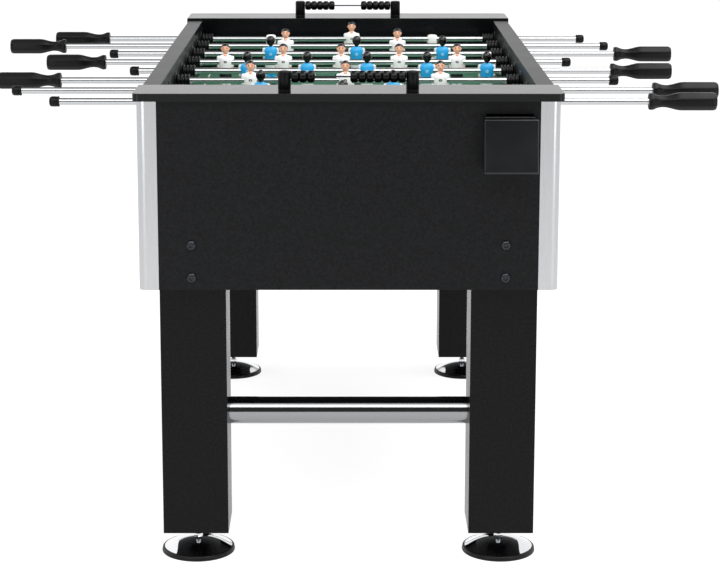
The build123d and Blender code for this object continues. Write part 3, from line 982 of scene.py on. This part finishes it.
def build_stage():
    """A pale floor, soft light and the camera."""
    scene = bpy.context.scene
    settings = scene.foosball_stage
    scene.view_settings.view_transform = "Standard"
    scene.view_settings.look = "None"
    shape = bmesh.new()
    bmesh.ops.create_grid(shape, x_segments=1, y_segments=1, size=60.0)  # metres each way
    mesh = bpy.data.meshes.new("studio_floor")
    shape.to_mesh(mesh)
    shape.free()
    floor = bpy.data.objects.new("studio_floor", mesh)
    scene.collection.objects.link(floor)
    # Matt paint with a glow of its own, so that shadows on it stay faint
    material = bpy.data.materials.new("matt studio paint")
    material.use_nodes = True
    shader = material.node_tree.nodes["Principled BSDF"]
    shader.inputs["Base Color"].default_value = settings.floor_colour
    shader.inputs["Roughness"].default_value = 0.9
    shader.inputs["Specular IOR Level"].default_value = 0.0
    shader.inputs["Emission Color"].default_value = linear("#fdfdfd")
    shader.inputs["Emission Strength"].default_value = settings.floor_glow
    mesh.materials.append(material)

    world = bpy.data.worlds.new("studio_room")
    scene.world = world
    world.use_nodes = True
    tree = world.node_tree
    # The room is drawn by the direction from the table: X right, Y back and Z up
    ray = add(tree, "ShaderNodeTexCoord").outputs["Generated"]
    way = add(tree, "ShaderNodeSeparateXYZ", links={"Vector": ray}).outputs
    maths, step = "ShaderNodeMath", "ShaderNodeMapRange"
    aside = add(tree, maths, links={0: way["X"]}, operation="ABSOLUTE").outputs[0]
    soft = {"interpolation_type": "SMOOTHSTEP"}
    times = {"operation": "MULTIPLY"}
    # White walls all round, a little brighter on the left
    walls = add(
        tree, step, {"From Min": -1.0, "To Min": 1.3, "To Max": 0.95}, {"Value": way["X"]}
    ).outputs[0]
    # A dark gap in the ceiling over the rear wall
    behind = add(
        tree, step, {"From Min": -0.1, "From Max": 0.2}, {"Value": way["Y"]}, **soft
    ).outputs[0]
    above = add(
        tree, step, {"From Min": 0.26, "From Max": 0.4}, {"Value": way["Z"]}, **soft
    ).outputs[0]
    middle = add(
        tree, step, {"From Min": 0.22, "From Max": 0.34, "To Min": 1.0, "To Max": 0.0},
        {"Value": aside}, **soft,
    ).outputs[0]
    strip = add(tree, maths, links={0: behind, 1: above}, **times).outputs[0]
    gap = add(tree, maths, links={0: strip, 1: middle}, **times).outputs[0]
    gap_light = add(tree, step, {"To Min": 1.0, "To Max": 0.04}, {"Value": gap}).outputs[0]
    # A dark room behind the camera
    front = add(
        tree, step, {"From Min": -0.2, "From Max": -0.5}, {"Value": way["Y"]}, **soft
    ).outputs[0]
    low = add(
        tree, step, {"From Min": 0.6, "From Max": 0.8, "To Min": 1.0, "To Max": 0.0},
        {"Value": way["Z"]}, **soft,
    ).outputs[0]
    room = add(tree, maths, links={0: front, 1: low}, **times).outputs[0]
    room_light = add(tree, step, {"To Min": 1.0, "To Max": 0.06}, {"Value": room}).outputs[0]
    dark = add(tree, maths, links={0: gap_light, 1: room_light}, **times).outputs[0]
    total = add(tree, maths, links={0: dark, 1: walls}, **times).outputs[0]
    # Past the floor's edge the camera sees a plain white backdrop
    seen = add(tree, "ShaderNodeLightPath").outputs["Is Camera Ray"]
    shown = add(tree, maths, links={0: seen, 1: total}, operation="MAXIMUM").outputs[0]
    background = tree.nodes["Background"]
    tree.links.new(shown, background.inputs["Strength"])
    background.inputs["Color"].default_value = (1.0, 1.0, 1.0, 1.0)

    # Each softbox: its place, its width and height, and its power. All aim at the table's middle
    target = Vector((0, 0, 0.6))
    for name, spot, wide, tall, power in (
        ("key_softbox", (-0.3, -3.4, 3.6), 6.0, 1.6, settings.key_power),
        ("fill_softbox", (1.6, -0.4, 4.0), 3.0, 2.4, settings.fill_power),
        ("left_softbox", (-2.1, -4.0, 1.0), 1.5, 1.5, settings.left_power),
        ("right_softbox", (2.7, -3.5, 1.0), 1.5, 1.5, settings.right_power),
    ):
        light = bpy.data.lights.new(name, "AREA")
        light.shape = "RECTANGLE"
        light.size = wide
        light.size_y = tall
        light.energy = power
        lamp = bpy.data.objects.new(name, light)
        lamp.location = spot
        lamp.rotation_euler = (target - Vector(spot)).to_track_quat("-Z", "Y").to_euler()
        scene.collection.objects.link(lamp)

    camera = bpy.data.cameras.new("studio_camera")
    camera.lens = settings.lens
    camera.sensor_width = 36.0
    camera.shift_x = settings.shift_x
    camera.shift_y = settings.shift_y
    camera.clip_end = 200.0
    viewer = bpy.data.objects.new("studio_camera", camera)
    viewer.location = settings.camera_place
    forward = Matrix.Rotation(-settings.camera_pitch, 4, "X") @ Vector((0, 1, 0, 0))
    viewer.rotation_euler = forward.xyz.to_track_quat("-Z", "Y").to_euler()
    scene.collection.objects.link(viewer)
    scene.camera = viewer


def finish_cabinet():
    """Finishes for the CAD solids whose shapes are already right."""
    panel, leg, wall, board = black_laminate(), leg_laminate(), smooth_wall(), raw_board()
    for node, material in (
        ("end_rails", rail_laminate()),
        ("side_rails", side_rail_laminate()),
        ("side_aprons", panel),
        ("end_panels", panel),
        ("corner_trims", brushed_aluminium()),
        ("goal_walls", wall),
        ("playfield_board", board),
        ("playfield_surface", field_sheet()),
        ("field_cleats", board),
        ("goal_ramps", wall),
        ("legs_front", leg),
        ("legs_rear", leg),
        ("cross_tubes", tube_chrome()),
    ):
        dress(node, material)
    for number in ROD_NUMBERS:
        dress(f"rod_{number}", rod_chrome())


# Settings


def colour_setting(name, description, hex_colour):
    """A colour in the sidebar."""
    return bpy.props.FloatVectorProperty(
        name=name, description=description, default=linear(hex_colour), min=0.0, max=1.0, size=4,
        subtype="COLOR",
    )


def power_setting(name, description, watts):
    """The power of a light in the sidebar."""
    return bpy.props.FloatProperty(
        name=name, description=description, default=watts, min=0.0, unit="POWER"
    )


class FoosballCabinetSettings(bpy.types.PropertyGroup):
    """The cabinet's colours."""

    field_colour: colour_setting("Field", "Colour of the printed field", "#4a7d63")


class FoosballTeamSettings(bpy.types.PropertyGroup):
    """The men's colours."""

    white_colour: colour_setting("First team", "Shirt colour of the first team", "#fbf9f8")
    blue_colour: colour_setting("Second team", "Shirt colour of the second team", "#25a3df")
    skin_colour: colour_setting("Skin", "Skin colour of the men", "#ffc0a2")
    hair_colour: colour_setting("Hair", "Hair colour of the men", "#050506")


class FoosballFittingSettings(bpy.types.PropertyGroup):
    """Sizes of the small fittings."""

    facet_radius: bpy.props.FloatProperty(
        name="Facet radius", description="Rounding between a grip's eight sides",
        default=1.6 * MM, min=0.2 * MM, max=3.0 * MM, precision=4, unit="LENGTH",
    )


class FoosballStageSettings(bpy.types.PropertyGroup):
    """The floor, the lights and the camera."""

    floor_colour: colour_setting("Floor", "Colour of the studio floor", "#959595")
    floor_glow: bpy.props.FloatProperty(
        name="Floor glow", description="Light that the floor gives off itself", default=0.86,
        min=0.0,
    )
    key_power: power_setting("Key light", "Power of the main softbox", 125.0)
    fill_power: power_setting("Fill light", "Power of the overhead softbox", 90.0)
    left_power: power_setting("Left softbox", "Power of the low light on the left", 17.0)
    right_power: power_setting("Right softbox", "Power of the low light on the right", 18.0)
    lens: bpy.props.FloatProperty(
        name="Lens", description="Focal length", default=103.48, min=1.0, unit="CAMERA"
    )
    shift_x: bpy.props.FloatProperty(
        name="Shift X", description="Sideways lens shift, as a share of the width", default=0.02
    )
    shift_y: bpy.props.FloatProperty(
        name="Shift Y", description="Upward lens shift, as a share of the width", default=-0.1194
    )
    camera_pitch: bpy.props.FloatProperty(
        name="Pitch", description="How far the camera looks down", default=math.radians(10.844),
        subtype="ANGLE",
    )
    camera_place: bpy.props.FloatVectorProperty(
        name="Camera", description="Where the camera stands",
        default=(-0.00518, -4.31257, 1.37517), subtype="XYZ_LENGTH",
    )


# Operators


class FOOSBALL_OT_stage(bpy.types.Operator):
    """Build the floor, the lights and the camera"""

    bl_idname = "foosball.stage"
    bl_label = "Build Stage"

    def execute(self, context):
        build_stage()
        return {"FINISHED"}


class FOOSBALL_OT_cabinet(bpy.types.Operator):
    """Give the cabinet, legs, tubes and rods their finishes"""

    bl_idname = "foosball.cabinet"
    bl_label = "Finish Cabinet"

    def execute(self, context):
        finish_cabinet()
        return {"FINISHED"}


class FOOSBALL_OT_field(bpy.types.Operator):
    """Lay the field's white lines"""

    bl_idname = "foosball.field"
    bl_label = "Print Field"

    def execute(self, context):
        build_field_lines()
        return {"FINISHED"}


class FOOSBALL_OT_returns(bpy.types.Operator):
    """Mould the two ball return cups"""

    bl_idname = "foosball.returns"
    bl_label = "Build Ball Returns"

    def execute(self, context):
        build_returns()
        return {"FINISHED"}


class FOOSBALL_OT_bolts(bpy.types.Operator):
    """Set the heads of the leg bolts"""

    bl_idname = "foosball.bolts"
    bl_label = "Build Bolts"

    def execute(self, context):
        build_bolts()
        return {"FINISHED"}


class FOOSBALL_OT_levelers(bpy.types.Operator):
    """Turn the four levelling feet"""

    bl_idname = "foosball.levelers"
    bl_label = "Build Levelers"

    def execute(self, context):
        build_levelers()
        return {"FINISHED"}


class FOOSBALL_OT_bearings(bpy.types.Operator):
    """Turn the rod bearings"""

    bl_idname = "foosball.bearings"
    bl_label = "Build Bearings"

    def execute(self, context):
        build_bearings()
        return {"FINISHED"}


class FOOSBALL_OT_bumpers(bpy.types.Operator):
    """Turn the rubber bumpers"""

    bl_idname = "foosball.bumpers"
    bl_label = "Build Bumpers"

    def execute(self, context):
        build_bumpers()
        return {"FINISHED"}


class FOOSBALL_OT_men(bpy.types.Operator):
    """Model the men and stamp them along the rods"""

    bl_idname = "foosball.men"
    bl_label = "Build Men"

    def execute(self, context):
        build_men()
        return {"FINISHED"}


class FOOSBALL_OT_grips(bpy.types.Operator):
    """Loft the eight grips"""

    bl_idname = "foosball.grips"
    bl_label = "Build Grips"

    def execute(self, context):
        build_grips()
        return {"FINISHED"}


class FOOSBALL_OT_caps(bpy.types.Operator):
    """Turn the eight end caps"""

    bl_idname = "foosball.caps"
    bl_label = "Build End Caps"

    def execute(self, context):
        build_end_caps()
        return {"FINISHED"}


class FOOSBALL_OT_scorers(bpy.types.Operator):
    """Turn the scorer posts, wires and beads"""

    bl_idname = "foosball.scorers"
    bl_label = "Build Scorers"

    def execute(self, context):
        build_scorers()
        return {"FINISHED"}


# In the order in which they run
OPERATORS = (
    FOOSBALL_OT_stage,
    FOOSBALL_OT_cabinet,
    FOOSBALL_OT_field,
    FOOSBALL_OT_returns,
    FOOSBALL_OT_bolts,
    FOOSBALL_OT_levelers,
    FOOSBALL_OT_bearings,
    FOOSBALL_OT_bumpers,
    FOOSBALL_OT_men,
    FOOSBALL_OT_grips,
    FOOSBALL_OT_caps,
    FOOSBALL_OT_scorers,
)


class FOOSBALL_PT_sidebar(bpy.types.Panel):
    """The table's settings and steps."""

    bl_label = "Foosball Table"
    bl_space_type = "VIEW_3D"
    bl_region_type = "UI"
    bl_category = "Foosball"

    def draw(self, context):
        for settings in (
            context.scene.foosball_cabinet,
            context.scene.foosball_teams,
            context.scene.foosball_fittings,
            context.scene.foosball_stage,
        ):
            box = self.layout.box()
            for name in settings.__annotations__:
                box.prop(settings, name)
        for operator in OPERATORS:
            self.layout.operator(operator.bl_idname)


SETTINGS = {
    "foosball_cabinet": FoosballCabinetSettings,
    "foosball_teams": FoosballTeamSettings,
    "foosball_fittings": FoosballFittingSettings,
    "foosball_stage": FoosballStageSettings,
}


def register():
    """Adds the settings, the steps and the sidebar."""
    for name, group in SETTINGS.items():
        bpy.utils.register_class(group)
        setattr(bpy.types.Scene, name, bpy.props.PointerProperty(type=group))
    for operator in (*OPERATORS, FOOSBALL_PT_sidebar):
        bpy.utils.register_class(operator)


def unregister():
    """Takes them away again, last first."""
    for operator in reversed((*OPERATORS, FOOSBALL_PT_sidebar)):
        bpy.utils.unregister_class(operator)
    for name, group in reversed(tuple(SETTINGS.items())):
        delattr(bpy.types.Scene, name)
        bpy.utils.unregister_class(group)


def main():
    """Builds the whole table step by step."""
    register()
    for operator in OPERATORS:
        getattr(bpy.ops.foosball, operator.bl_idname.removeprefix("foosball."))()


if __name__ == "__main__":
    main()
